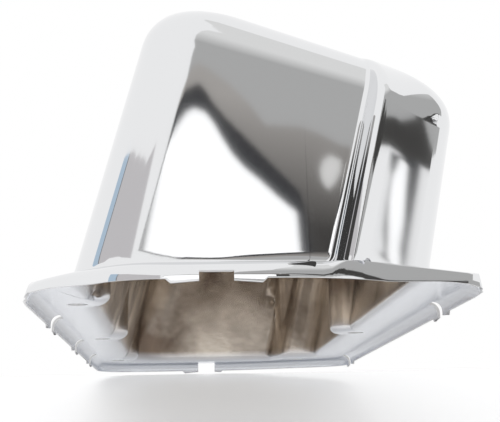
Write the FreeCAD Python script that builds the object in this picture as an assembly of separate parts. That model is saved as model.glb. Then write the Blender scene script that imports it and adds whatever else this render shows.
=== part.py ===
"""Engine valve cover: one sheet of steel, drawn into a leaning dome.

Frame: X runs across the cover, Y along it (the end seen from outside is at -Y), Z up.
The origin lies on the surface that the lip stands on, in the middle of the outline's box.
All sizes are in millimetres.
"""
import FreeCAD, Part
import math
import os

# Sheet and overall size
sheet = 1.0
length = 449.0
width = 156.0

# Flange and its turned-down lip
lip_depth = 5.6
tab_drop = 1.4
lip_bend = 4.7
foot_bend = 2.5
near_left_cut = (34.0, 48.0)
near_right_cut = (54.0, 41.0)
far_right_cut = (66.0, 24.0)
near_cut_bends = (18.0, 26.0, 60.0, 8.0)
far_bends = (22.0, 60.0, 22.0)

# The lip is shallower past the two near corners: this much, reached, held and lost over these lengths
corner_relief = 1.8
relief_rise = 6.0
relief_hold = 14.0
relief_fall = 26.0

# Dome: its side walls lean the way it was drawn, and its roof falls to the right
left_lean = 16.0
right_lean = 11.4
end_lean = 2.0
roof_fall = 19.3
roof_height = 86.2
left_roof_bend = 19.3
right_roof_bend = 18.2
end_roof_bend = 18.0

# Plan of the dome's foot: ledges between it and the lip, and the folds in its two ends
left_ledge = 19.5
right_ledge = 21.2
near_ledge = 16.5
far_ledge = 21.5
bulge_ledge = 0.8
ridge_inset = 1.0
bulge_fold = 9.0
step_depth = 22.0
step_width = 18.8
step_run = 8.0
left_corner_bend = 22.0
near_right_corner_bend = 16.0
far_right_corner_bend = 9.0
fold_bend = 9.0
step_bend = 5.0
fold_fade = 0.96
bend_sections = 6

# Bolt holes, and the room that a bolt head's socket needs round each
hole_radius = 4.0
socket_radius = 11.5
left_hole_inset = 14.7
left_hole_start = -120.0
left_hole_pitch = 150.0
left_hole_count = 3
right_hole_inset = 17.5
right_hole_y = 17.0
near_hole_x = 2.0
near_hole_inset = 9.8
far_hole_x = 47.0
far_hole_inset = 27.5

# Notches in the lip that take the gasket's tabs, each between two deeper tabs of the lip.
# A notch is given as its place along the side and its width.
near_notch = (-13.4, 10.5)
left_notches = ((-77.0, 14.0), (36.0, 10.5), (131.0, 10.5))
right_notches = ((-108.0, 9.0), (170.0, 9.0))
far_notch = (-9.0, 10.5)
near_notch_height = 3.8
near_notch_bevel = 1.6
tab_length = 8.5
tab_start = 0.7
tab_slant = 1.6

flange_top = tab_drop + lip_depth
half_width = width / 2
dome_left = half_width - left_ledge
dome_right = half_width - right_ledge
touch = sheet / 50
half_length = length / 2
V = FreeCAD.Vector


def sind(angle):
    return math.sin(math.radians(angle))


def cosd(angle):
    return math.cos(math.radians(angle))


def rounded_outline(corners, radii):
    """A closed wire of straight sides and tangent arcs round corners that lie in one plane."""
    count = len(corners)
    joints = []
    for i in range(count):
        here = corners[i]
        before = (corners[i - 1] - here).normalize()
        after = (corners[(i + 1) % count] - here).normalize()
        half_angle = before.getAngle(after) / 2
        run = radii[i] / math.tan(half_angle)
        drop = radii[i] / math.sin(half_angle) - radii[i]
        middle = (before + after).normalize()
        joints.append((here + before * run, here + middle * drop, here + after * run))
    edges = []
    for i in range(count):
        start, mid, end = joints[i]
        edges.append(Part.Arc(start, mid, end).toShape())
        edges.append(Part.LineSegment(end, joints[(i + 1) % count][0]).toShape())
    return Part.Wire(edges)


def moved_in(corners, inset):
    """The same polygon, run anticlockwise, with every side moved in by inset."""
    count = len(corners)
    sides = []
    for i in range(count):
        here, after = corners[i], corners[(i + 1) % count]
        along = (after - here).normalize()
        inward = V(-along.y, along.x, 0)
        sides.append((here + inward * inset, along))
    moved = []
    for i in range(count):
        point, along = sides[i - 1]
        other, heading = sides[i]
        cross = along.x * heading.y - along.y * heading.x
        gap = other - point
        moved.append(point + along * ((gap.x * heading.y - gap.y * heading.x) / cross))
    return moved


def flange_corners():
    """Plan of the lip: both near corners and the far right one are cut off."""
    left, right = -half_width, half_width
    near, far = -half_length, half_length
    return [
        V(left, near + near_left_cut[1], 0),
        V(left + near_left_cut[0], near, 0),
        V(right - near_right_cut[0], near, 0),
        V(right, near + near_right_cut[1], 0),
        V(right, far - far_right_cut[1], 0),
        V(right - far_right_cut[0], far, 0),
        V(left, far, 0),
    ]


def flange_column(inset, bottom, top):
    """A straight column on the flange's plan, between two heights."""
    corners = [corner + V(0, 0, bottom) for corner in moved_in(flange_corners(), inset)]
    radii = [bend - inset for bend in near_cut_bends + far_bends]
    return Part.Face(rounded_outline(corners, radii)).extrude(V(0, 0, top - bottom))


def flange_block(inset):
    """The flange with its lip, as a solid block rounded along its top edge."""
    block = flange_column(inset, -2 * inset, flange_top - inset)
    top = max(block.Faces, key=lambda side: side.CenterOfMass.z)
    return block.makeFillet(lip_bend - inset, top.Edges)


def foot_corners():
    """Plan of the dome's foot: the bulge at the near right, and the step in the far end."""
    near = near_ledge - half_length
    far = half_length - far_ledge
    lip_start, lip_end = flange_corners()[2:4]
    along = (lip_end - lip_start).normalize()
    face_start = lip_start + V(-along.y, along.x, 0) * bulge_ledge
    slope = along.y / along.x
    ridge_x = half_width - near_right_cut[0] + ridge_inset
    return [
        V(-dome_left, near, 0),
        V(ridge_x - bulge_fold, near, 0),
        V(ridge_x, face_start.y + (ridge_x - face_start.x) * slope, 0),
        V(dome_right, face_start.y + (dome_right - face_start.x) * slope, 0),
        V(dome_right, far - step_depth, 0),
        V(dome_right - step_width, far - step_depth, 0),
        V(dome_right - step_width - step_run, far, 0),
        V(-dome_left, far, 0),
    ]


def foot_radii(inset, share):
    """Bends of the corners above; a fold that turns inward grows where the rest shrink."""
    return [
        left_corner_bend - inset,
        (fold_bend + inset) * share,
        (fold_bend - inset) * share,
        near_right_corner_bend - inset,
        far_right_corner_bend - inset,
        (step_bend + inset) * share,
        (step_bend - inset) * share,
        left_corner_bend - inset,
    ]


def crossing(first, first_normal, second, second_normal):
    """Where two lines of the XZ plane cross, each given by a point and a normal."""
    turn = first_normal.x * second_normal.z - first_normal.z * second_normal.x
    a, b = first.dot(first_normal), second.dot(second_normal)
    x = (a * second_normal.z - b * first_normal.z) / turn
    z = (first_normal.x * b - second_normal.x * a) / turn
    return V(x, 0, z)


def side_point(side, inset, level):
    """Point of one side of the cross-section: 0 to 1 up the wall, 1 to 2 round the roof bend."""
    foot_x, normal, roof_bend = {
        "left": (-dome_left, V(-cosd(left_lean), 0, sind(left_lean)), left_roof_bend),
        "right": (dome_right, V(cosd(right_lean), 0, -sind(right_lean)), right_roof_bend),
    }[side]
    roof_normal = V(sind(roof_fall), 0, cosd(roof_fall))
    wall = V(foot_x, 0, flange_top) - normal * inset
    roof = V(0, 0, flange_top + roof_height) - roof_normal * inset
    bend = roof_bend - inset
    centre = crossing(wall - normal * bend, normal, roof - roof_normal * bend, roof_normal)
    start = crossing(wall, normal, V(0, 0, flange_top - lip_bend), V(0, 0, 1))
    end = centre + normal * bend
    if level <= 1:
        return start + (end - start) * level
    first = math.atan2(normal.z, normal.x)
    last = math.atan2(roof_normal.z, roof_normal.x)
    angle = first + (last - first) * (level - 1)
    return centre + V(math.cos(angle), 0, math.sin(angle)) * bend


def end_inset(inset, level):
    """How far an end wall has moved in at one level, measured from its foot line."""
    low, high = side_point("left", inset, 0), side_point("left", inset, 1)
    climb = (low.z + (high.z - low.z) * min(level, 1) - flange_top) * math.tan(math.radians(end_lean))
    roof = (end_roof_bend - inset) * (1 - cosd(90 * max(level - 1, 0)))
    return climb + roof


def dome_section(inset, level):
    """Closed wire round the dome at one level; the folds of the ends fade out at the roof."""
    left, right = side_point("left", inset, level), side_point("right", inset, level)
    foot = moved_in(foot_corners(), inset)
    span = foot[3].x - foot[0].x
    move = end_inset(inset, level)
    fade = 1 - fold_fade * sind(90 * max(level - 1, 0))
    corners = []
    for corner in foot:
        share = (corner.x - foot[0].x) / span
        end, sign = (foot[0].y, 1) if corner.y < 0 else (foot[-1].y, -1)
        base = left + (right - left) * share
        corners.append(V(base.x, end + (corner.y - end) * fade + sign * move, base.z))
    return rounded_outline(corners, foot_radii(inset, (right - left).Length / span))


def dome_block(inset):
    """The dome as a solid block: straight walls from inside the lip's bend, and the roof bend."""
    walls = Part.makeLoft([dome_section(inset, level) for level in (0, 1)], True, True)
    levels = [1 + i / bend_sections for i in range(bend_sections + 1)]
    roof = Part.makeLoft([dome_section(inset, level) for level in levels], True, False)
    return walls.fuse(roof).common(flange_column(inset, 0, 2 * roof_height))


def side_bolt_places():
    """Plan position of the bolt holes along the two long sides."""
    places = []
    for i in range(left_hole_count):
        places.append((left_hole_inset - half_width, left_hole_start + i * left_hole_pitch))
    places.append((half_width - right_hole_inset, right_hole_y))
    return places


def end_bolt_places():
    """Plan position of the bolt hole at the near end and at the far end."""
    return [(near_hole_x, near_hole_inset - half_length), (far_hole_x, half_length - far_hole_inset)]


def sockets(inset):
    """The room over each bolt hole, open to the outside, that the dome's wall is dented for.

    The near end's wall stands clear of its bolt, so it needs none.
    """
    reach = socket_radius + inset
    floor, height = flange_top - inset, 2 * roof_height
    rooms = []
    for x, y in side_bolt_places():
        rooms.append(Part.makeCylinder(reach, height, V(x, y, floor)))
        side = x if x > 0 else x - half_width
        rooms.append(Part.makeBox(half_width, 2 * reach, height, V(side, y - reach, floor)))
    x, y = end_bolt_places()[1]
    rooms.append(Part.makeCylinder(reach, height, V(x, y, floor)))
    rooms.append(Part.makeBox(2 * reach, half_width, height, V(x - reach, y, floor)))
    return rooms


def foot_edges(block, floor):
    """Where the dome and its dents rise from the flange's flat top, at the height of floor."""
    edges = []
    for edge in block.Edges:
        low, high = edge.BoundBox.ZMin - floor, edge.BoundBox.ZMax - floor
        faces = block.ancestorsOfType(edge, Part.Face)
        flat = any(face.BoundBox.ZLength < touch for face in faces)
        rising = any(face.BoundBox.ZMax > floor + foot_bend for face in faces)
        if max(abs(low), abs(high)) < touch and flat and rising:
            edges.append(edge)
    return edges


def pressing(inset):
    """All that lies under one face of the sheet: inset 0 for its outside, sheet for its inside."""
    dome = dome_block(inset).cut(sockets(inset))
    block = dome.fuse(flange_block(inset)).removeSplitter()
    return block.makeFillet(foot_bend + inset, foot_edges(block, flange_top - inset))


def prism(points, across):
    """A block with its outline in the XZ plane, as thick as across on each side of it."""
    corners = [V(x, -across, z) for x, z in points]
    return Part.Face(Part.makePolygon(corners + corners[:1])).extrude(V(0, 2 * across, 0))


def placed(shape, spot, turn):
    """The shape moved from the origin to a spot on the lip, and turned about Z."""
    shape.Placement = FreeCAD.Placement(spot, FreeCAD.Rotation(V(0, 0, 1), turn))
    return shape


def notch_places():
    """Each notch's spot on the lip, the turn that faces it outward, and its width."""
    places = [(V(near_notch[0], -half_length, 0), 0, near_notch[1])]
    places += [(V(-half_width, y, 0), -90, notch) for y, notch in left_notches]
    places += [(V(half_width, y, 0), 90, notch) for y, notch in right_notches]
    places.append((V(far_notch[0], half_length, 0), 180, far_notch[1]))
    return places


def tab(notch, side):
    """One deeper tab of the lip beside a notch, on its side -1 or 1."""
    start = notch / 2
    end = start + tab_length
    outline = [(start, tab_drop), (start, tab_start), (end, 0), (end + tab_slant, tab_drop)]
    return prism([(side * x, z) for x, z in outline], 2 * sheet)


def lip_trim():
    """What is cut from under the lip, so that only the tabs reach the surface it stands on."""
    waste = flange_column(-sheet, -lip_depth, tab_drop)
    tabs = []
    for spot, turn, notch in notch_places():
        tabs += [placed(tab(notch, side), spot, turn) for side in (-1, 1)]
    return waste.cut(tabs)


def corner_reliefs():
    """The tools that shorten the lip along its two near cuts, from each cut's outer corner on."""
    outer_left, inner_left, inner_right, outer_right = flange_corners()[:4]
    held = relief_rise + relief_hold
    top = tab_drop + corner_relief
    outline = [(0, -sheet), (0, tab_drop), (relief_rise, top), (held, top), (held + relief_fall, tab_drop),
               (held + relief_fall, -sheet)]
    cuts = []
    for start, end in ((outer_left, inner_left), (outer_right, inner_right)):
        turn = math.degrees(math.atan2(end.y - start.y, end.x - start.x))
        cuts.append(placed(prism(outline, 2 * lip_bend), V(start.x, start.y, 0), turn))
    return cuts


def near_notch_cut():
    """The near notch stops below the lip's bend, with its sheared edge sloping inward and down."""
    notch = near_notch[1]
    top, bottom = near_notch_height + 2 * near_notch_bevel, near_notch_height - 2 * near_notch_bevel
    outline = [(-2 * sheet, -sheet), (2 * sheet, -sheet), (2 * sheet, bottom), (-2 * sheet, top)]
    corners = [V(-notch / 2, y, z) for y, z in outline]
    return Part.Face(Part.makePolygon(corners + corners[:1])).extrude(V(notch, 0, 0))


def notch_cuts():
    """The tools that cut the notches; all but the near one go up through the lip's bend."""
    places = notch_places()
    cuts = [placed(near_notch_cut(), *places[0][:2])]
    for spot, turn, notch in places[1:]:
        cut = Part.makeBox(notch, 2 * lip_bend, 2 * flange_top, V(-notch / 2, -lip_bend, -flange_top / 2))
        cuts.append(placed(cut, spot, turn))
    return cuts


def valve_cover_shell():
    """The whole cover: one sheet, with its lip trimmed and its notches and bolt holes cut."""
    cover = pressing(0).cut(pressing(sheet))
    bolts = side_bolt_places() + end_bolt_places()
    holes = [Part.makeCylinder(hole_radius, 2 * flange_top, V(x, y, 0)) for x, y in bolts]
    return cover.cut([lip_trim()] + corner_reliefs() + notch_cuts() + holes)


os.makedirs("parts", exist_ok=True)
valve_cover_shell().exportStep("parts/valve_cover_shell.step")
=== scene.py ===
# %% [markdown]
# # Engine valve cover
# This lesson dresses a chromed, pressed-steel valve cover. The real cover is one sheet of steel,
# 1 mm thick, drawn into a leaning dome with a flange and a notched lip, so it is one mesh here too.

# %% Open the frame
import bpy
import math
import numpy as np
from mathutils import Matrix, Vector


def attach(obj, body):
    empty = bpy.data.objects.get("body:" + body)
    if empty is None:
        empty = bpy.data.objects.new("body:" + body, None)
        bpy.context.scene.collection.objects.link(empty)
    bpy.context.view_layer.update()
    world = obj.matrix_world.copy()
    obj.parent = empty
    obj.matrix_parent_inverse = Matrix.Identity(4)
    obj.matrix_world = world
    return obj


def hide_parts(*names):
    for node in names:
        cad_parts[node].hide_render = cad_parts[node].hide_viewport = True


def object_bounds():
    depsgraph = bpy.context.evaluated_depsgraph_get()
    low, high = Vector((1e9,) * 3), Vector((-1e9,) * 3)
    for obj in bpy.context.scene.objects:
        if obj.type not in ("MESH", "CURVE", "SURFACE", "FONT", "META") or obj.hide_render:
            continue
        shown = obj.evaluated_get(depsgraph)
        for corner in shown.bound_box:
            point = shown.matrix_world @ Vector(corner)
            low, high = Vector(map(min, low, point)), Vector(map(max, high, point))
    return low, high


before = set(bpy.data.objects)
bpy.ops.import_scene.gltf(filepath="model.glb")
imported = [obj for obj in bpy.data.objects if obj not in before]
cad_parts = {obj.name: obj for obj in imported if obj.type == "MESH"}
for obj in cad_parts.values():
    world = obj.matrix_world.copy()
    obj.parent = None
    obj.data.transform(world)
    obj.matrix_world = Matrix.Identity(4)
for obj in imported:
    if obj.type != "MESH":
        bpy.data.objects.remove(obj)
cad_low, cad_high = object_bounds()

mm = 0.001
touch = 0.01
print("The frame is", [round((cad_high[i] - cad_low[i]) / mm, 1) for i in range(3)], "mm")

# %% [markdown]
# ## Sizes
# The driving sizes are those of the pressing itself, in millimetres. The outline's length and width are
# read from the frame, so the mesh and the frame can't drift apart. Three sizes differ a little from the
# CAD's, because they show in the reflections: the fold, the near left corner and the lip's bend at the
# two near corners.

# %% The sheet, its lip and its flange
sheet = 1.0
half_width = (cad_high[0] - cad_low[0]) / 2 / mm
half_length = (cad_high[1] - cad_low[1]) / 2 / mm
flange_top = 7.0
lip_bottom = 1.4
lip_bend = 4.7
foot_bend = 2.5
near_left_cut = (34.0, 48.0)
near_right_cut = (54.0, 41.0)
far_right_cut = (66.0, 24.0)
flange_bends = (18.0, 26.0, 60.0, 8.0, 22.0, 60.0, 22.0)
corner_relief = 1.8
relief_rise = 6.0
relief_hold = 14.0
relief_fall = 26.0
corner_bend_more = 5.0
corner_bend_reach = 16.0
print("The lip is", flange_top - lip_bottom, "mm deep")

# %% The dome
dome_left = 58.5
dome_right = 56.8
left_lean = 16.0
right_lean = 11.4
end_lean = 2.0
roof_fall = 19.3
roof_height = 86.2
left_roof_bend = 19.3
right_roof_bend = 18.2
end_roof_bend = 18.0
near_ledge = 16.5
far_ledge = 21.5
bulge_ledge = 0.8
bulge_start = 23.5
bulge_fold = 3.0
step_depth = 22.0
step_width = 18.8
step_run = 8.0
corner_bends = {
    "near_left": 15.0,
    "fold": 2.0,
    "ridge": 3.0,
    "near_right": 16.0,
    "far_right": 9.0,
    "step": 5.0,
    "far_left": 22.0,
}
fold_fade = 0.96
print("The dome's foot is", dome_left + dome_right, "mm wide")

# %% Bolt holes and notches
hole_radius = 4.0
socket_radius = 11.5
left_hole_x = -63.3
left_hole_y = (-120.0, 30.0, 180.0)
right_hole = (60.5, 17.0)
near_hole = (2.0, -214.7)
far_hole = (47.0, 197.0)
near_notch = (-13.4, 10.5)
left_notches = ((-77.0, 14.0), (36.0, 10.5), (131.0, 10.5))
right_notches = ((-108.0, 9.0), (170.0, 9.0))
far_notch = (-9.0, 10.5)
near_notch_height = 3.8
tab_length = 8.5
tab_start = 0.7
tab_slant = 1.6
print("Bolt holes:", len(left_hole_y) + 3, "and notches:", 2 + len(left_notches) + len(right_notches))

# %% [markdown]
# ## Outlines with rounded corners
# Both the lip and the dome's foot are polygons with rounded corners, seen from above. A place on such an
# outline is one number: 2k to 2k+1 runs round corner k, and 2k+1 to 2k+2 runs along the side after it.
# Two outlines can then be joined point for point, which is how a press tool blends one into the other.

# %% A helper for rounded outlines
class Outline:
    """A closed polygon, run anticlockwise, with an arc at every corner."""

    def __init__(self, corners, bends):
        self.corners = [np.array(corner, float) for corner in corners]
        self.count = len(corners)
        self.arcs = []
        for i, bend in enumerate(bends):
            here = self.corners[i]
            back = self.corners[i - 1] - here
            ahead = self.corners[(i + 1) % self.count] - here
            back, ahead = back / np.linalg.norm(back), ahead / np.linalg.norm(ahead)
            half = math.acos(np.clip(back @ ahead, -1, 1)) / 2
            run = bend / math.tan(half)
            middle = (back + ahead) / np.linalg.norm(back + ahead)
            centre = here + middle * bend / math.sin(half)
            start, end = here + back * run, here + ahead * run
            first = math.atan2(*(start - centre)[::-1])
            turn = math.atan2(*(end - centre)[::-1]) - first
            turn = (turn + math.pi) % (2 * math.pi) - math.pi
            self.arcs.append((centre, bend, first, turn, start, end))

    def at(self, place):
        """The point at a place, and the direction that faces out there."""
        side, share = int(place // 1) % (2 * self.count), place % 1
        centre, bend, first, turn, start, end = self.arcs[side // 2]
        if side % 2 == 0:
            angle = first + turn * share
            facing = np.array((math.cos(angle), math.sin(angle)))
            return centre + facing * bend, facing * (1 if turn > 0 else -1)
        after = self.arcs[(side // 2 + 1) % self.count][4]
        along = (after - end) / np.linalg.norm(after - end)
        return end + (after - end) * share, np.array((along[1], -along[0]))

    def place(self, side, axis, value):
        """The place on straight side number side where one coordinate has a value."""
        start, end = self.arcs[side][5], self.arcs[(side + 1) % self.count][4]
        return 2 * side + 1 + (value - start[axis]) / (end[axis] - start[axis])


# %% The lip's outline
lip_corners = [
    (-half_width, near_left_cut[1] - half_length),
    (near_left_cut[0] - half_width, -half_length),
    (half_width - near_right_cut[0], -half_length),
    (half_width, near_right_cut[1] - half_length),
    (half_width, half_length - far_right_cut[1]),
    (half_width - far_right_cut[0], half_length),
    (-half_width, half_length),
]
lip = Outline(lip_corners, flange_bends)
print("The lip's outline has", lip.count, "corners")

# %% [markdown]
# ## The dome's sections
# The dome is a stack of closed sections. Level 0 is its foot on the flange, 0 to 1 goes up the straight
# walls and 1 to 2 goes round the bend into the roof. The left wall leans in and the right wall leans out,
# and the roof falls to the right, so each section lies on a slanting plane of its own.

# %% One side of the cross-section
def crossing(point, normal, other, other_normal):
    """Where two lines of the cross-section meet, each given by a point and a normal."""
    return np.linalg.solve(np.array((normal, other_normal)), np.array((point @ normal, other @ other_normal)))


def side_point(side, level):
    """The (x, z) point of the left or right side at one level."""
    lean = math.radians(left_lean if side == "left" else -right_lean)
    out = -1 if side == "left" else 1
    foot = np.array((-dome_left if side == "left" else dome_right, flange_top))
    bend = left_roof_bend if side == "left" else right_roof_bend
    normal = np.array((out * math.cos(lean), math.sin(lean)))
    fall = math.radians(roof_fall)
    roof_normal = np.array((math.sin(fall), math.cos(fall)))
    roof = np.array((0, flange_top + roof_height))
    centre = crossing(foot - normal * bend, normal, roof - roof_normal * bend, roof_normal)
    end = centre + normal * bend
    if level <= 1:
        return foot + (end - foot) * level
    first, last = math.atan2(normal[1], normal[0]), math.atan2(roof_normal[1], roof_normal[0])
    angle = first + (last - first) * (level - 1)
    return centre + bend * np.array((math.cos(angle), math.sin(angle)))


# %% The dome's foot
foot_near = near_ledge - half_length
foot_far = half_length - far_ledge
cut_start, cut_end = np.array(lip_corners[2]), np.array(lip_corners[3])
cut_along = (cut_end - cut_start) / np.linalg.norm(cut_end - cut_start)
bulge_line = cut_start + np.array((-cut_along[1], cut_along[0])) * bulge_ledge
bulge_slope = cut_along[1] / cut_along[0]
ridge_x = bulge_start + bulge_fold
foot_corners = [
    (-dome_left, foot_near),
    (bulge_start, foot_near),
    (ridge_x, bulge_line[1] + (ridge_x - bulge_line[0]) * bulge_slope),
    (dome_right, bulge_line[1] + (dome_right - bulge_line[0]) * bulge_slope),
    (dome_right, foot_far - step_depth),
    (dome_right - step_width, foot_far - step_depth),
    (dome_right - step_width - step_run, foot_far),
    (-dome_left, foot_far),
]
bend_names = ["near_left", "fold", "ridge", "near_right", "far_right", "step", "step", "far_left"]


# %% A whole section at one level
def rise(level):
    """How far round the end's roof bend a level is, counted level from the wall: 0 to 1."""
    return 1 - math.cos(math.radians(90 * max(level - 1, 0)))


def section(level):
    """The outline of one section, and a function that stands its points up in space."""
    left, right = side_point("left", level), side_point("right", level)
    across = np.linalg.norm(right - left)
    span = dome_left + dome_right
    climb = side_point("left", min(level, 1))[1] - flange_top
    move = climb * math.tan(math.radians(end_lean)) + end_roof_bend * rise(level)
    fade = 1 - fold_fade * math.sin(math.radians(90 * max(level - 1, 0)))
    corners = []
    for x, y in foot_corners:
        end, inward = (foot_near, 1) if y < 0 else (foot_far, -1)
        corners.append(((x + dome_left) / span * across, end + (y - end) * fade + inward * move))
    share = {name: across / span for name in ("fold", "ridge", "step")}
    bends = [corner_bends[name] * share.get(name, 1) for name in bend_names]
    outline = Outline(corners, bends)

    def stand(place):
        (along, y), facing = outline.at(place)
        x, z = left + (right - left) * along / across
        return np.array((x, y, z)), facing

    return outline, stand


foot, foot_stand = section(0)
print("The roof's edge lies between", side_point("left", 2).round(1), "and", side_point("right", 2).round(1))

# %% [markdown]
# ## Where the columns go
# The mesh is a grid: columns run from the lip's bottom edge in over the flange and up the dome, and rows
# run round it. Columns stand close together only where something bends: at the corners, at the bolt
# sockets and at the notches. That keeps reflections clean without a heavy mesh.

# %% Match places on the foot with places on the lip; the middle of corner k is at 2k + 0.5
def foot_at(side, x):
    """The place on one end of the foot at an x; a section counts its own x from the left wall."""
    return foot.place(side, 0, x + dome_left)


def pairs():
    """(place on the foot, place on the lip) pairs, going once round; x and y are in millimetres."""
    matched = [(0.5, 1.5)]
    matched.append((foot_at(0, -32.0), 2.5))
    for x in (-20.0, near_hole[0], 12.0):
        matched.append((foot_at(0, x), lip.place(1, 0, x)))
    matched += [(4.5, 4.6), (6.5, 6.5)]
    for y in (-150.0, right_hole[1], 150.0):
        matched.append((foot.place(3, 1, y), lip.place(3, 1, y)))
    matched += [(8.5, 8.5), (10.5, lip.place(4, 0, 52.0)), (12.5, lip.place(4, 0, 34.0))]
    matched.append((foot_at(6, 11.0), 10.5))
    matched.append((foot_at(6, -20.0), lip.place(5, 0, -20.0)))
    matched.append((14.5, 12.5))
    for y in left_hole_y[::-1]:
        matched.append((foot.place(7, 1, min(y, 172.0)), lip.place(6, 1, min(y, 172.0))))
    matched.append((foot.place(7, 1, -168.0), 14.5))
    return np.array(matched)


matched = pairs()
foot_turn, lip_turn = 2 * foot.count, 2 * lip.count
foot_places = np.concatenate((matched[:, 0] - foot_turn, matched[:, 0], matched[:, 0] + foot_turn))
lip_places = np.concatenate((matched[:, 1] - lip_turn, matched[:, 1], matched[:, 1] + lip_turn))
print("Matched places rise:", bool((np.diff(foot_places) > 0).all() and (np.diff(lip_places) > 0).all()))


def lip_of(place):
    """The place on the lip that a place on the foot is joined to."""
    return float(np.interp(place, foot_places, lip_places))


def foot_of(place):
    """The place on the foot that a place on the lip is joined to."""
    return float(np.interp(place, lip_places, foot_places)) % foot_turn


# %% How close the columns stand, in columns or millimetres
foot_arc_columns = 15
lip_arc_columns = 9
wide_gap = 5
least_gap = 0.55
hole_steps = np.arange(-18, 18.1, 1.2)
fold_steps = (1.8, 2.6, 3.6, 5.0)
last_left_y = foot_far - 23
last_near_x = 18
print("Each bolt hole has up to", len(hole_steps), "columns")


# %% The notches, as places along the lip
def notch_list():
    """(side of the lip, axis it runs along, middle, width) of each notch."""
    listed = [(1, 0) + near_notch]
    listed += [(6, 1) + notch for notch in left_notches]
    listed += [(3, 1) + notch for notch in right_notches]
    listed.append((5, 0) + far_notch)
    return listed


notches = notch_list()
print("The lip has", len(notches), "notches")


def exact_places():
    """Places that must carry a column: the ends of notches and of their tabs."""
    places = []
    for side, axis, middle, wide in notches:
        for step in (wide / 2, wide / 2 + tab_length, wide / 2 + tab_length + tab_slant):
            for sign in (-1, 1):
                places.append(foot_of(lip.place(side, axis, middle + sign * step)))
    return places


def loose_places():
    """Places that a smooth mesh wants: close together in bends, near bolt holes and at the fold."""
    places = []
    for side in range(foot.count):
        places += list(np.linspace(2 * side, 2 * side + 1, foot_arc_columns))
        length = np.linalg.norm(foot.at(2 * side + 1.9999)[0] - foot.at(2 * side + 1)[0])
        places += list(np.linspace(2 * side + 1, 2 * side + 2, 2 + int(length / wide_gap)))
    for side in range(lip.count):
        places += [foot_of(place) for place in np.linspace(2 * side, 2 * side + 1, lip_arc_columns)]
    for y in left_hole_y:
        places += [foot.place(7, 1, y + step) for step in hole_steps if y + step < last_left_y]
    places += [foot.place(3, 1, right_hole[1] + step) for step in hole_steps]
    places += [foot_at(0, near_hole[0] + step) for step in hole_steps if near_hole[0] + step < last_near_x]
    places += [foot_of(lip.place(4, 0, far_hole[0] + step)) for step in hole_steps]
    places += [foot_at(0, bulge_start - step) for step in fold_steps]
    return places


def column_places():
    """All places in order, with loose ones dropped where they crowd."""
    def gap(a, b):
        near = np.linalg.norm(foot.at(a)[0] - foot.at(b)[0])
        return max(near, np.linalg.norm(lip.at(lip_of(a))[0] - lip.at(lip_of(b))[0]))

    kept = sorted((place % foot_turn, True) for place in exact_places())
    for place in loose_places():
        place = place % foot_turn
        if all(gap(place, other) > least_gap for other, _ in kept if abs(other - place) < 0.6):
            kept.append((place, False))
    return sorted(place for place, _ in kept)


columns = column_places()
print("The grid has", len(columns), "columns")

# %% [markdown]
# ## The profile of one column
# A column starts at the lip's bottom edge, goes up the lip and round its bend, across the flat flange,
# round the foot bend, up the wall and round the roof bend. Where the dome comes flush with the lip, both
# bends shrink so that they still fit. A bolt socket is a dent: points of the wall that stand in its
# cylinder are pushed back until a socket wrench can pass.

# %% Rows of the grid
notch_angle = math.asin((near_notch_height - flange_top + lip_bend) / lip_bend)
lip_angles = [0, notch_angle] + list(np.linspace(notch_angle, math.pi / 2, 7)[1:])
flat_rows = 9
foot_rows = 5
wall_rows = 22
roof_rows = 14
crown_rows = 7
print("The lip's bend has", len(lip_angles), "rows")


# %% The lip's bottom edge
def lip_foot(place):
    """Height of the lip's bottom edge: the tabs beside the notches reach down to the bench."""
    point = lip.at(place)[0]
    height = lip_bottom
    for side, axis, middle, wide in notches:
        if int(place // 1) % lip_turn != 2 * side + 1:
            continue
        away = abs(point[axis] - middle) - wide / 2
        if -touch < away < tab_length + tab_slant:
            steps = (0, tab_length, tab_length + tab_slant)
            height = float(np.interp(away, steps, (tab_start, 0, lip_bottom)))
    for outer, inner in ((0, 1), (3, 2)):
        start = lip.corners[outer]
        along = (lip.corners[inner] - start) / np.linalg.norm(lip.corners[inner] - start)
        run, aside = (point - start) @ along, abs(np.cross(along, point - start))
        if aside < 2 * lip_bend:
            steps = (0, relief_rise, relief_rise + relief_hold, relief_rise + relief_hold + relief_fall)
            height += float(np.interp(run, steps, (0, corner_relief, corner_relief, 0)))
    return height


def in_notch(place, other):
    """Which notch, if any, lies between two neighbouring columns."""
    for number, (side, axis, middle, wide) in enumerate(notches):
        same = [int((p + 1e-6) // 1) % lip_turn == 2 * side + 1 for p in (place, other)]
        centre = (lip.at(place)[0][axis] + lip.at(other)[0][axis]) / 2
        if all(same) and abs(centre - middle) < wide / 2:
            return number
    return None


# %% Dents for the bolt heads: each has its hole, the axis it is pushed along and the way
sockets = [((left_hole_x, hole_y), 0, 1) for hole_y in left_hole_y]
sockets += [(right_hole, 0, -1), (far_hole, 1, -1)]
socket_blend = 1.2
print("The dome has", len(sockets), "dents")


def floor_at(distance, limit):
    """The distance, kept above a limit with a soft change between the two."""
    over = distance - limit
    return limit + (over + math.sqrt(over ** 2 + socket_blend ** 2)) / 2


def dented(point):
    """Push a point of the dome out of the bolt sockets, towards the middle of the dome."""
    x, y, z = point
    for hole, axis, inward in sockets:
        spot = [x, y]
        aside = abs(spot[1 - axis] - hole[1 - axis])
        if aside < socket_radius:
            limit = math.sqrt(socket_radius ** 2 - aside ** 2)
            away = (spot[axis] - hole[axis]) * inward
            if away < limit + 6 * socket_blend:
                spot[axis] = hole[axis] + floor_at(away, limit) * inward
        x, y = spot
    return np.array((x, y, z))


# %% One column of points
least_room = 0.3
most_of_room = 0.96


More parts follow.
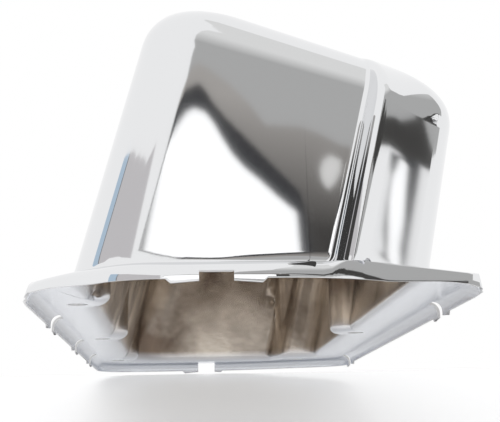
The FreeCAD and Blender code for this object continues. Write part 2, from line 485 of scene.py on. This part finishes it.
def bend_points(start, corner, end, rows):
    """Points of a smooth bend from start to end round a corner."""
    shares = np.linspace(0, 1, rows + 1)[:, None]
    half = np.linalg.norm(end - start) / 2
    height = np.linalg.norm(corner - (start + end) / 2)
    weight = half / math.hypot(half, height)
    first, middle, last = (1 - shares) ** 2, 2 * weight * shares * (1 - shares), shares ** 2
    return (first * start + middle * corner + last * end) / (first + middle + last)


def corner_swell(point):
    """How much wider the lip's bend is near the two near corners."""
    away = min(np.linalg.norm(point - lip.corners[number]) for number in (0, 3))
    return corner_bend_more * math.exp(-((away / corner_bend_reach) ** 2))


def column(place):
    """All points of one column, from the lip's bottom edge to the roof's edge."""
    on_lip, lip_facing = lip.at(lip_of(place))
    sections = [foot_stand(place)[0]]
    wall_top = dome_sections[0](place)[0]
    base = dented(sections[0])
    lean = (wall_top - sections[0]) / np.linalg.norm(wall_top - sections[0])
    out = np.append(foot_stand(place)[1], 0)
    room = max((on_lip - base[:2]) @ lip_facing, least_room)
    turn = math.acos(np.clip(-out @ lean, -1, 1))
    run = foot_bend * math.tan((math.pi - turn) / 2)
    wide_bend = lip_bend + corner_swell(on_lip)
    fit = min(1, most_of_room * room / (wide_bend + run))
    bend, run = wide_bend * fit, run * fit
    bottom = lip_foot(lip_of(place))
    angles = lip_angles
    points = []
    if bottom < flange_top - bend:
        points.append(np.append(on_lip, bottom))
    else:
        start = math.asin((bottom - flange_top + bend) / bend)
        angles = np.linspace(start, math.pi / 2, len(lip_angles) + 1)
    for angle in angles:
        spot = on_lip - lip_facing * bend * (1 - math.cos(angle))
        points.append(np.append(spot, flange_top - bend + bend * math.sin(angle)))
    flat_start = points[-1]
    outward = flat_start - base
    outward /= np.linalg.norm(outward)
    flat_end = base + outward * run
    points += [flat_start + (flat_end - flat_start) * i / flat_rows for i in range(1, flat_rows)]
    wall_start = dented(sections[0] + lean * run)
    points += list(bend_points(flat_end, base, wall_start, foot_rows))
    first = run / np.linalg.norm(wall_top - sections[0])
    for share in np.linspace(first, 1, wall_rows + 1)[1:]:
        points.append(dented(sections[0] + (wall_top - sections[0]) * share))
    points += [dented(stand(place)[0]) for stand in dome_sections[1:]]
    return points


dome_sections = [section(1 + i / roof_rows)[1] for i in range(roof_rows + 1)]
grid = np.array([column(place) for place in columns])
print("The grid is", grid.shape[0], "columns by", grid.shape[1], "rows")

# %% [markdown]
# ## From grid to sheet
# The grid is the outside of the sheet. The inside is the same grid moved in by the sheet's thickness,
# and the two are joined along every open edge, as a cut sheet has edges. The roof is closed by rings that
# shrink to a line. Doing the thickness by hand, not with a modifier, lets each side have its own finish.

# %% Close the roof
crown = 0.5
spine_inset = 38
roof_edge = grid[:, -1]
spine = roof_edge.copy()
spine[:, 0] = roof_edge.mean(axis=0)[0]
first_y, last_y = roof_edge[:, 1].min(), roof_edge[:, 1].max()
spine[:, 1] = np.clip(roof_edge[:, 1], first_y + spine_inset, last_y - spine_inset)
spine[:, 2] = flange_top + roof_height - spine[:, 0] * math.tan(math.radians(roof_fall))
rings = []
for i in range(1, crown_rows + 1):
    share = i / crown_rows
    ring = roof_edge + (spine - roof_edge) * share
    ring[:, 2] += crown * (1 - (1 - share) ** 2) ** 2
    rings.append(ring)
grid = np.concatenate((grid, np.array(rings).transpose(1, 0, 2)), axis=1)
print("With its roof the grid has", grid.shape[1], "rows")


# %% Faces of the outside, with the notches left open
lip_rows = len(lip_angles)
count, rows = grid.shape[:2]
faces = []
for i in range(count):
    j = (i + 1) % count
    notch = in_notch(lip_of(columns[i]), lip_of(columns[j]) if j else lip_of(columns[0] + foot_turn))
    # The near notch, number 0, stops below the lip's bend. The others go right through it.
    first_row = 0 if notch is None else (2 if notch == 0 else lip_rows)
    for row in range(first_row, rows - 1):
        faces.append((i * rows + row, j * rows + row, j * rows + row + 1, i * rows + row + 1))
points = grid.reshape(-1, 3).copy()
print("The outside has", len(faces), "faces")


# %% Cut the bolt holes out of the flat flange
def cut_hole(points, faces, centre):
    """Drop the faces inside a hole and pull the edge left behind onto its circle."""
    centre = np.array(centre)
    flat = np.abs(points[:, 2] - flange_top) < touch
    dropped = set()
    for number, face in enumerate(faces):
        corners = points[list(face)]
        if flat[list(face)].all() and np.linalg.norm(corners[:, :2].mean(axis=0) - centre) < hole_radius:
            dropped.add(number)
    edge = {corner for number in dropped for corner in faces[number]}
    kept = [face for number, face in enumerate(faces) if number not in dropped]
    still_used = {corner for face in kept for corner in face}
    for corner in edge & still_used:
        ray = points[corner, :2] - centre
        points[corner, :2] = centre + ray / np.linalg.norm(ray) * hole_radius
    print("A hole at", centre, "has", len(edge & still_used), "corners")
    return kept


for spot in [(left_hole_x, y) for y in left_hole_y] + [right_hole, near_hole, far_hole]:
    faces = cut_hole(points, faces, spot)


# %% Build the sheet with its thickness
def vertex_normals(points, faces):
    """Normals that weigh each face by its area."""
    quads = np.array(faces)
    a, b, c, d = (points[quads[:, k]] for k in range(4))
    flat = np.cross(c - a, d - b)
    normals = np.zeros_like(points)
    for k in range(4):
        np.add.at(normals, quads[:, k], flat)
    return normals / np.maximum(np.linalg.norm(normals, axis=1), 1e-12)[:, None]


normals = vertex_normals(points, faces)
if normals[rows - 1][2] < 0:
    normals = -normals
inner = points - normals * sheet
open_edges = {}
for face in faces:
    for a, b in zip(face, face[1:] + face[:1]):
        if (b, a) in open_edges:
            del open_edges[(b, a)]
        else:
            open_edges[(a, b)] = True
total = len(points)
inside_faces = [tuple(total + corner for corner in face[::-1]) for face in faces]
rim_faces = [(b, a, total + a, total + b) for a, b in open_edges]
everything = np.concatenate((points, inner)) * mm

shell_mesh = bpy.data.meshes.new("pressed_shell")
shell_mesh.from_pydata([tuple(p) for p in everything], [], faces + inside_faces + rim_faces)
shell = bpy.data.objects.new("pressed_shell", shell_mesh)
bpy.context.scene.collection.objects.link(shell)
for number, polygon in enumerate(shell_mesh.polygons):
    polygon.material_index = 0 if number < len(faces) else (1 if number < 2 * len(faces) else 2)
    polygon.use_smooth = number < 2 * len(faces)
rim_edges = {tuple(sorted(edge)) for edge in open_edges}
rim_edges |= {(a + total, b + total) for a, b in rim_edges}
for edge in shell_mesh.edges:
    edge.use_edge_sharp = tuple(sorted(edge.vertices)) in rim_edges
shell_mesh.validate()
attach(shell, "root")
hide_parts("valve_cover_shell")
print("The shell has", len(shell_mesh.polygons), "faces")

# %% [markdown]
# ## Finishes
# Outside, the cover is mirror chrome over polished steel: full metal, hardly any roughness, and waves too
# fine to see but for a slight blur. Inside, the plating is thin and the drawn metal shows: warm, satin and
# mottled by noise that sticks to the object. The flange's underside and the cut edges are bright again.

# %% A helper for materials
def new_material(name):
    """A material with its nodes, its links and its shader."""
    material = bpy.data.materials.new(name)
    material.use_nodes = True
    nodes, links = material.node_tree.nodes, material.node_tree.links
    return material, nodes, links, nodes["Principled BSDF"]


def noise_at(nodes, links, scale, detail):
    """Noise that sticks to the object; its spots are about 1 / scale metres large."""
    where = nodes.new("ShaderNodeTexCoord")
    texture = nodes.new("ShaderNodeTexNoise")
    texture.inputs["Scale"].default_value = scale
    texture.inputs["Detail"].default_value = detail
    links.new(where.outputs["Object"], texture.inputs["Vector"])
    return texture.outputs["Fac"]


def add_bump(nodes, links, shader, noise, strength, distance):
    """Fine waves in the surface; distance is in metres."""
    bump = nodes.new("ShaderNodeBump")
    bump.inputs["Strength"].default_value = strength
    bump.inputs["Distance"].default_value = distance
    links.new(noise, bump.inputs["Height"])
    links.new(bump.outputs["Normal"], shader.inputs["Normal"])


# %% Mirror chrome
def chrome():
    material, nodes, links, shader = new_material("mirror_chrome")
    shader.inputs["Metallic"].default_value = 1.0
    shader.inputs["Base Color"].default_value = (0.80, 0.805, 0.815, 1)
    shader.inputs["Roughness"].default_value = 0.04
    add_bump(nodes, links, shader, noise_at(nodes, links, 28.0, 2.0), 0.04, 0.0001)
    return material


# %% Warm satin inside, brighter on the flange's underside
bright_below = 0.0065
warm_above = 0.0125


def satin():
    material, nodes, links, shader = new_material("satin_inside")
    where = nodes.new("ShaderNodeTexCoord")
    split = nodes.new("ShaderNodeSeparateXYZ")
    links.new(where.outputs["Object"], split.inputs["Vector"])
    height = nodes.new("ShaderNodeMapRange")
    height.inputs["From Min"].default_value = bright_below
    height.inputs["From Max"].default_value = warm_above
    links.new(split.outputs["Z"], height.inputs["Value"])
    mottle = nodes.new("ShaderNodeMix")
    mottle.data_type = "RGBA"
    mottle.inputs["A"].default_value = (0.20, 0.15, 0.115, 1)
    mottle.inputs["B"].default_value = (0.92, 0.84, 0.74, 1)
    contrast = nodes.new("ShaderNodeMapRange")
    contrast.inputs["From Min"].default_value = 0.36
    contrast.inputs["From Max"].default_value = 0.66
    links.new(noise_at(nodes, links, 24.0, 5.0), contrast.inputs["Value"])
    links.new(contrast.outputs["Result"], mottle.inputs["Factor"])
    blend = nodes.new("ShaderNodeMix")
    blend.data_type = "RGBA"
    blend.inputs["A"].default_value = (0.72, 0.74, 0.78, 1)
    links.new(height.outputs["Result"], blend.inputs["Factor"])
    links.new(mottle.outputs["Result"], blend.inputs["B"])
    links.new(blend.outputs["Result"], shader.inputs["Base Color"])
    shader.inputs["Metallic"].default_value = 0.9
    shader.inputs["Roughness"].default_value = 0.27
    add_bump(nodes, links, shader, noise_at(nodes, links, 320.0, 3.0), 0.2, 0.0003)
    return material


# %% Cut edges
def cut_edge():
    material, _, _, shader = new_material("cut_edge")
    shader.inputs["Metallic"].default_value = 1.0
    shader.inputs["Base Color"].default_value = (0.7, 0.7, 0.7, 1)
    shader.inputs["Roughness"].default_value = 0.4
    return material


for make in (chrome, satin, cut_edge):
    shell_mesh.materials.append(make())
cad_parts["valve_cover_shell"].data.materials.clear()
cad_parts["valve_cover_shell"].data.materials.append(bpy.data.materials["mirror_chrome"])
print("Finishes:", [material.name for material in shell_mesh.materials])

# %% [markdown]
# ## The studio
# The camera looks up under the cover from low in front of one end. The bench can't stand between the two,
# so it is one-sided: seen from above it is a pale floor, and from below it isn't there. A slope under the
# cover falls towards the camera, which stands above it and sees the soft shadow on it.

# %% The camera
camera_spot = Vector((-23.37, -598.57, -48.89)) * mm
picture_width = 500
focal_length = 1266
camera_yaw, camera_pitch, camera_roll = (math.radians(angle) for angle in (3.106, 10.654, -1.160))
level_ahead = Vector((math.sin(camera_yaw), math.cos(camera_yaw), 0))
ahead = level_ahead * math.cos(camera_pitch) + Vector((0, 0, math.sin(camera_pitch)))
level_right = Vector((math.cos(camera_yaw), -math.sin(camera_yaw), 0))
level_up = level_right.cross(ahead)
camera_right = math.cos(camera_roll) * level_right + math.sin(camera_roll) * level_up
camera_up = math.cos(camera_roll) * level_up - math.sin(camera_roll) * level_right
camera = bpy.data.objects.new("camera", bpy.data.cameras.new("camera"))
bpy.context.scene.collection.objects.link(camera)
turned = Matrix((camera_right, camera_up, -ahead)).transposed().to_4x4()
camera.matrix_world = Matrix.Translation(camera_spot) @ turned
camera.data.sensor_width = 36.0
camera.data.lens = camera.data.sensor_width * focal_length / picture_width
bpy.context.scene.camera = camera
print("The camera stands", round(-camera_spot.y / mm), "mm in front")


# %% The floor
def stage_mesh(name, points, faces):
    """A mesh of the stage, which isn't part of the object."""
    mesh = bpy.data.meshes.new(name)
    mesh.from_pydata([tuple(point) for point in points], [], faces)
    made = bpy.data.objects.new(name, mesh)
    bpy.context.scene.collection.objects.link(made)
    return made


def pale_floor(name, see_through_shadows):
    """A pale floor that only shows from above."""
    material, nodes, links, shader = new_material(name)
    shader.inputs["Base Color"].default_value = (0.9, 0.9, 0.91, 1)
    shader.inputs["Roughness"].default_value = 0.9
    clear = nodes.new("ShaderNodeBsdfTransparent")
    facing = nodes.new("ShaderNodeNewGeometry")
    light = nodes.new("ShaderNodeLightPath")
    either = nodes.new("ShaderNodeMath")
    either.operation = "MAXIMUM"
    mix = nodes.new("ShaderNodeMixShader")
    links.new(facing.outputs["Backfacing"], either.inputs[0])
    if see_through_shadows:
        links.new(light.outputs["Is Shadow Ray"], either.inputs[1])
    links.new(either.outputs["Value"], mix.inputs["Fac"])
    links.new(shader.outputs["BSDF"], mix.inputs[1])
    links.new(clear.outputs["BSDF"], mix.inputs[2])
    links.new(mix.outputs["Shader"], nodes["Material Output"].inputs["Surface"])
    return material


# %% The floor's two meshes
floor_reach = 4000
floor_drop = 0.05
opening_inset = 2.0
opening_corners = 140
sweep_reach = 3000
sweep_drop = 0.5
sweep_slope = math.tan(math.radians(17))


def floor_ring():
    """The floor with an opening under the cover, so that light and the camera get in from below."""
    hole = [lip.at(place) for place in np.linspace(0, lip_turn, opening_corners, endpoint=False)]
    hole = [tuple(point - facing * opening_inset) + (-floor_drop,) for point, facing in hole]
    outer = []
    for x, y, z in hole:
        length = max(abs(x), abs(y))
        outer.append((x / length * floor_reach, y / length * floor_reach, z))
    n = opening_corners
    ring = [(i, n + i, n + (i + 1) % n, (i + 1) % n) for i in range(n)]
    return stage_mesh("floor", [Vector(point) * mm for point in hole + outer], ring)


def sweep_sheet():
    """A slope that falls from the far end towards the camera, and catches the shadow."""
    low = -(sweep_reach + half_length) * sweep_slope - sweep_drop
    near, far = (-sweep_reach, low), (half_length, -sweep_drop)
    corners = [(-sweep_reach,) + near, (sweep_reach,) + near, (sweep_reach,) + far, (-sweep_reach,) + far]
    return stage_mesh("sweep", [Vector(corner) * mm for corner in corners], [(0, 1, 2, 3)])


floor = floor_ring()
floor.data.materials.append(pale_floor("floor_pale", True))
sweep = sweep_sheet()
sweep.data.materials.append(pale_floor("sweep_pale", False))
print("Floor faces up:", all(face.normal.z > 0 for face in floor.data.polygons))


# %% [markdown]
# ## What the chrome mirrors
# A mirror has no look of its own: it shows the room. A photographer stands white and dark cards round
# chrome to draw its shape, and so does this studio. A card could be a lamp, but then it would light the
# object too. These are plain glowing sheets that only glossy rays see, so they shape the reflections and
# leave the light level alone. Each card is a list of directions, seen from the near end of the cover.

# %% A helper for the cards
card_centre = Vector((0, -215, 50)) * mm
card_reach = 3.0
layer_step = 0.02
bent_reach = card_reach + 0.6
bent_step = 0.1
bent_rows = 8


def toward(azimuth, height):
    """A direction: azimuth 0 is behind the camera, 90 to its right, and height is above the bench."""
    turn, climb = math.radians(azimuth), math.radians(height)
    return Vector((math.sin(turn) * math.cos(climb), -math.cos(turn) * math.cos(climb), math.sin(climb)))


def glow_of(name, colour, low, high):
    """A glow that goes from low to high strength; each end is (height in degrees, strength)."""
    material = bpy.data.materials.new(name)
    material.use_nodes = True
    nodes, links = material.node_tree.nodes, material.node_tree.links
    glow = nodes.new("ShaderNodeEmission")
    glow.inputs["Color"].default_value = colour + (1,)
    glow.inputs["Strength"].default_value = low[1]
    if high:
        where = nodes.new("ShaderNodeTexCoord")
        split = nodes.new("ShaderNodeSeparateXYZ")
        ramp = nodes.new("ShaderNodeMapRange")
        for label, value in (("From Min", low[0]), ("From Max", high[0])):
            ramp.inputs[label].default_value = card_reach * math.sin(math.radians(value))
        ramp.inputs["To Min"].default_value = low[1]
        ramp.inputs["To Max"].default_value = high[1]
        links.new(where.outputs["Object"], split.inputs["Vector"])
        links.new(split.outputs["Z"], ramp.inputs["Value"])
        links.new(ramp.outputs["Result"], glow.inputs["Strength"])
    links.new(glow.outputs["Emission"], nodes["Material Output"].inputs["Surface"])
    return material


# %% Flat and bent cards
def hang(name, points, faces, colour, low, high):
    """Hang a card in the studio, where only glossy rays see it."""
    made = stage_mesh(name, points, faces)
    made.location = card_centre
    for kind in ("visible_camera", "visible_diffuse", "visible_shadow", "visible_transmission"):
        setattr(made, kind, False)
    made.data.materials.append(glow_of(name, colour, low, high))


def card(name, colour, corners, low, high=None, layer=0, facing=0):
    """A flat card. Its corners are (azimuth, height) in degrees; higher layers hang closer."""
    ahead = toward(facing, 0)
    points = []
    for corner in corners:
        way = toward(*corner)
        points.append(way * (card_reach - layer_step * layer) / (way @ ahead))
    hang(name, points, [tuple(range(len(points)))], colour, low, high)


def bent_card(name, colour, columns, low, high=None, layer=0):
    """A card bent round the cover. Each column is (azimuth, lower height, upper height)."""
    points = []
    for azimuth, bottom, top in columns:
        for i in range(bent_rows + 1):
            way = toward(azimuth, bottom + (top - bottom) * i / bent_rows)
            points.append(way * (bent_reach - bent_step * layer))
    quads = []
    for k in range(len(columns) - 1):
        for i in range(bent_rows):
            here = k * (bent_rows + 1) + i
            quads.append((here, here + bent_rows + 1, here + bent_rows + 2, here + 1))
    hang(name, points, quads, colour, low, high)


# %% [markdown]
# ## Cards behind the camera
# The near wall is almost flat and faces the camera, so it mirrors a small patch of the room behind it:
# a bright softbox with a dark edge, and a brown wall that gets darker towards the floor.

# %% Cards behind the camera
softbox = [
    (-4.0, 10), (-2.6, 12.0), (-2.2, 13.33), (-1.72, 14.81), (-1.24, 16.29), (-0.89, 17.5),
    (-0.63, 17.87), (-0.24, 18.38), (0.27, 19.04), (0.66, 19.45), (1.13, 19.68), (1.73, 19.54),
    (2.11, 19.1), (2.51, 18.38), (3.0, 17.62), (3.57, 17.05), (4.4, 16.47), (5.11, 15.87),
    (5.72, 15.42), (6.05, 15.22), (5.94, 14.13), (5.84, 12.86), (5.8, 10),
]
frame_edge = [
    (-4.3, 10), (-2.86, 12.0), (-2.46, 13.31), (-1.99, 14.79), (-1.51, 16.27), (-1.11, 17.5),
    (-0.88, 18.09), (-0.67, 18.96), (-0.5, 19.55), (-0.06, 19.96), (0.73, 20.5), (1.51, 20.89),
    (1.86, 20.59), (2.24, 20.01), (2.82, 19.39), (3.56, 18.75), (4.53, 17.89), (5.48, 17.03),
    (6.4, 16.19), (6.5, 15.59), (6.45, 14.18), (6.6, 12.8), (6.9, 10),
]
brown_edge = [
    (-1.11, 17.4), (-0.45, 19.93), (-0.1, 20.62), (0.53, 21.19), (1.14, 21.56), (1.63, 21.83),
    (2.28, 21.56), (3.33, 20.94), (4.33, 20.08), (5.03, 19.2), (7.01, 19.27), (8.09, 19.03),
    (9.12, 18.62), (14, 18.2), (14, 10), (4, 10),
]
glint = [
    (8.45, 18.1), (9.07, 17.93), (8.88, 17.36), (8.42, 16.76), (7.97, 16.43), (7.72, 16.78),
    (7.73, 17.34), (8.0, 17.82),
]
card("glint", (1.0, 0.99, 0.97), glint, (0, 0.8), layer=4)
card("softbox", (1, 1, 1), softbox, (0, 1.35), layer=3)
card("softbox_frame", (0.88, 0.9, 1.0), frame_edge, (0, 0.04), layer=2)
card("brown_wall", (1.0, 0.95, 0.9), brown_edge, (15.0, 0.06), (21.8, 0.43), layer=1)

# %% [markdown]
# ## Cards to the right and above
# The bulge is turned to the right, so it mirrors that side: a narrow bright streak between two dark
# bands. The roof bend mirrors the ceiling, which gets brighter on the way up.

# %% Cards to the right
dark_band = [
    (12, 17.6, 19.6), (27, 14, 17.5), (38, 11, 14.5), (50, 8.5, 11.5), (68, 6.3, 8.6), (80, 5.6, 7.0),
    (86.5, 5.3, 6.75), (87.6, 5.4, 7.3), (88.2, 5.5, 8.2),
]
bent_card("dark_band", (1.0, 0.97, 0.93), dark_band, (0, 0.06), layer=1)
ceiling = [
    (0.5, 8, 22.3), (1.5, 8, 25), (3, 8, 32), (8, 8, 45), (15, 8, 55), (26, 8, 62), (45, 8, 72),
    (68, 7.5, 78), (84, 6, 80), (96, 6, 75), (104, 20, 60),
]
bent_card("ceiling", (1.0, 1.0, 0.99), ceiling, (40, 0.47), (74, 0.82))
streak = [
    (85.88, 5.09), (86.3, 5.01), (85.72, 3.85), (85.04, 2.46), (84.23, 1.02), (83.9, 0.2), (83.4, 0.3),
    (83.75, 1.13), (84.5, 2.93), (85.15, 4.15),
]
card("streak", (1, 1, 1), streak, (0, 1.35), layer=2, facing=84)
side_bands = [
    (85.4, 5.1), (87.3, 5.5), (87.02, 5.13), (86.1, 3.66), (84.93, 1.72), (84.1, 0.3), (83.0, 0.2),
    (83.35, 0.56), (83.64, 1.43), (84.32, 2.85), (84.88, 3.84), (85.3, 4.9),
]
card("side_bands", (0.95, 0.95, 1.0), side_bands, (0, 0.06), layer=1, facing=84)

# %% [markdown]
# ## Cards to the left, and one close to the fold
# The near left corner mirrors a lilac wall with a blue stripe. The narrow wall of the fold mirrors
# whatever stands close beside it, so a small card there keeps it dark at the foot and grey higher up.

# %% Cards to the left
lilac = [
    (-64, 0, 29.2), (-43, 0, 26.6), (-27, 0, 23.5), (-11, 0, 19.4), (-7, 0, 18.9), (-4.2, 0, 18.6),
]
bent_card("lilac_wall", (1.0, 0.97, 0.985), lilac, (0, 0.62), layer=1)
bent_card("thin_line", (1, 1, 1), [(-64, 0, 29.2), (-62, 0, 29.0)], (0, 0.22), layer=2)
bent_card("blue_stripe", (0.66, 0.83, 1.0), [(-78, 0, 29.6), (-64, 0, 29.2)], (0, 0.74), layer=1)

# %% A small card beside the fold
fold_card = [Vector((x, y, z)) * mm for x, y in ((16.5, -210), (18.2, -224)) for z in (9, 66)]
fold_card = [point - card_centre for point in fold_card]
hang("fold_card", fold_card, [(0, 2, 3, 1)], (1.0, 0.98, 0.96), (-0.04, 0.06), (0.19, 0.42))

# %% [markdown]
# ## Lamp and world
# One large soft lamp from above gives the soft shadow. The world gives an even, plain light. Whatever
# sees the backdrop, directly or in a reflection, sees it pure white.

# %% The lamp
lamp_data = bpy.data.lights.new("key", "AREA")
lamp_data.shape = "SQUARE"
lamp_data.size = 1.7
lamp_data.energy = 10
key = bpy.data.objects.new("key", lamp_data)
key.location = (-0.5, -0.3, 1.3)
key.rotation_mode = "QUATERNION"
key.rotation_quaternion = (-key.location).to_track_quat("-Z", "Y")
bpy.context.scene.collection.objects.link(key)
key.visible_glossy = False
print("The lamp is", round(lamp_data.size, 2), "m wide and has", lamp_data.energy, "W")

# %% The world
world = bpy.data.worlds.new("studio")
bpy.context.scene.world = world
world.use_nodes = True
backdrop = world.node_tree.nodes["Background"]
backdrop.inputs["Color"].default_value = (1, 1, 1, 1)
rays = world.node_tree.nodes.new("ShaderNodeLightPath")
brightness = world.node_tree.nodes.new("ShaderNodeMapRange")
light_strength, seen_strength = 0.92, 1.0
brightness.inputs["To Min"].default_value = light_strength
brightness.inputs["To Max"].default_value = seen_strength
seen = rays.outputs["Is Camera Ray"]
for label in ("Is Glossy Ray", "Is Transmission Ray"):
    either = world.node_tree.nodes.new("ShaderNodeMath")
    either.operation = "MAXIMUM"
    world.node_tree.links.new(seen, either.inputs[0])
    world.node_tree.links.new(rays.outputs[label], either.inputs[1])
    seen = either.outputs["Value"]
world.node_tree.links.new(seen, brightness.inputs["Value"])
world.node_tree.links.new(brightness.outputs["Result"], backdrop.inputs["Strength"])
bpy.context.scene.view_settings.view_transform = "Standard"
print("The world lights at", light_strength, "and is seen at", seen_strength)
